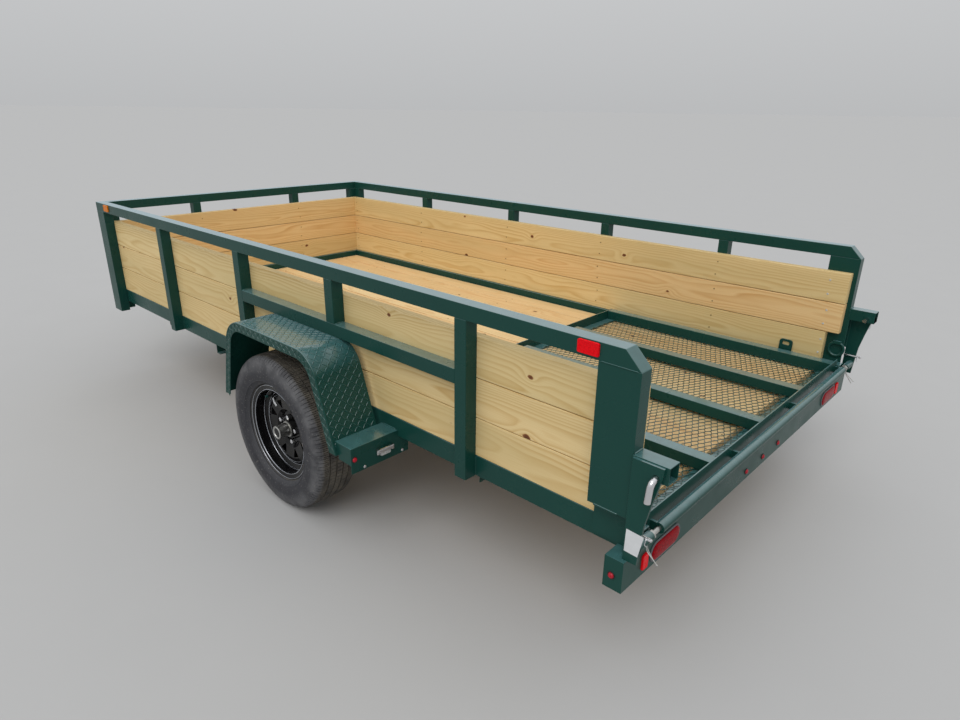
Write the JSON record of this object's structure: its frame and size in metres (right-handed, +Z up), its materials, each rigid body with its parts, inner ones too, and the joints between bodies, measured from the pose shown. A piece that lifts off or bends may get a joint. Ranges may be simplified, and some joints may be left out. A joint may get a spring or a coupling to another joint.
{
  "type": "utility trailer",
  "caption": "Single-axle utility trailer with high timber board sides, a steel tube frame, a fold-in ramp gate, fenders, tongue jack and ball coupler.",
  "frame": {"origin": "on the ground, in the middle of the overall length and width", "axes": "+X forward to the coupler, +Y to the left, +Z up"},
  "size_m": [5.11, 2.286, 1.0668],
  "materials": {
    "green_paint": "gloss powder coat",
    "board_pine": "sawn treated pine",
    "deck_pine": "sawn treated pine",
    "black_steel": "satin",
    "black_rim": "gloss",
    "tyre_rubber": "matt",
    "zinc": "zinc plated",
    "grey_rubber": "matt",
    "red_lens": "clear lens",
    "amber_lens": "clear lens"
  },
  "bodies": {
    "chassis": {"side_rails": "green_paint", "front_rail": "green_paint", "rear_crossmember": "green_paint", "cross_members": "green_paint", "tongue_rails": "green_paint", "front_cross_member": "green_paint", "tongue_crossbar": "green_paint", "coupler": "black_steel", "coupler_cup": "black_steel", "coupler_latch": "black_steel", "jack_housing": "zinc", "jack_crank": "zinc", "left_top_rail": "green_paint", "right_top_rail": "green_paint", "front_top_rail": "green_paint", "left_posts": "green_paint", "right_posts": "green_paint", "front_posts": "green_paint", "mid_rails": "green_paint", "front_corner_posts": "green_paint", "rear_corner_posts": "green_paint", "left_boards": "board_pine", "right_boards": "board_pine", "front_boards": "board_pine", "deck_boards": "deck_pine", "axle": "black_steel", "leaf_springs": "black_steel", "spring_hangers": "green_paint", "left_fender": "green_paint", "right_fender": "green_paint", "left_step_box": "green_paint", "right_step_box": "green_paint", "lamp_rims": "grey_rubber", "tail_lamps": "red_lens", "marker_lamps": "red_lens", "red_reflectors": "red_lens", "amber_reflectors": "amber_lens", "hinge_plates": "green_paint", "hinge_bolts": "zinc", "latch_stubs": "green_paint", "latch_pins": "zinc", "tie_plates": "green_paint", "tie_rings": "green_paint", "stow_pins": "zinc"},
    "left_wheel": {"left_hub": "black_steel", "left_rim": "black_rim", "left_tyre": "tyre_rubber"},
    "right_wheel": {"right_hub": "black_steel", "right_rim": "black_rim", "right_tyre": "tyre_rubber"},
    "ramp_gate": {"gate_frame": "green_paint", "gate_bars": "green_paint", "gate_mesh": "green_paint", "gate_hinge_pipe": "green_paint"},
    "jack_leg_body": {"jack_leg": "zinc"}
  },
  "joints": [
    {"name": "left_wheel_spin", "type": "hinge", "parent": "chassis", "child": "left_wheel", "pos_m": [-0.88, 1.026, 0.338], "axis": [0, 1, 0], "continuous": true},
    {"name": "right_wheel_spin", "type": "hinge", "parent": "chassis", "child": "right_wheel", "pos_m": [-0.88, -1.026, 0.338], "axis": [0, 1, 0], "continuous": true},
    {"name": "ramp_gate_swing", "type": "hinge", "parent": "chassis", "child": "ramp_gate", "pos_m": [-2.487, 0, 0.522], "axis": [0, -1, 0], "range_deg": [0, 202]},
    {"name": "jack_extend", "type": "slide", "parent": "chassis", "child": "jack_leg_body", "axis": [0, 0, 1], "range_m": [0, 0.25]}
  ]
}
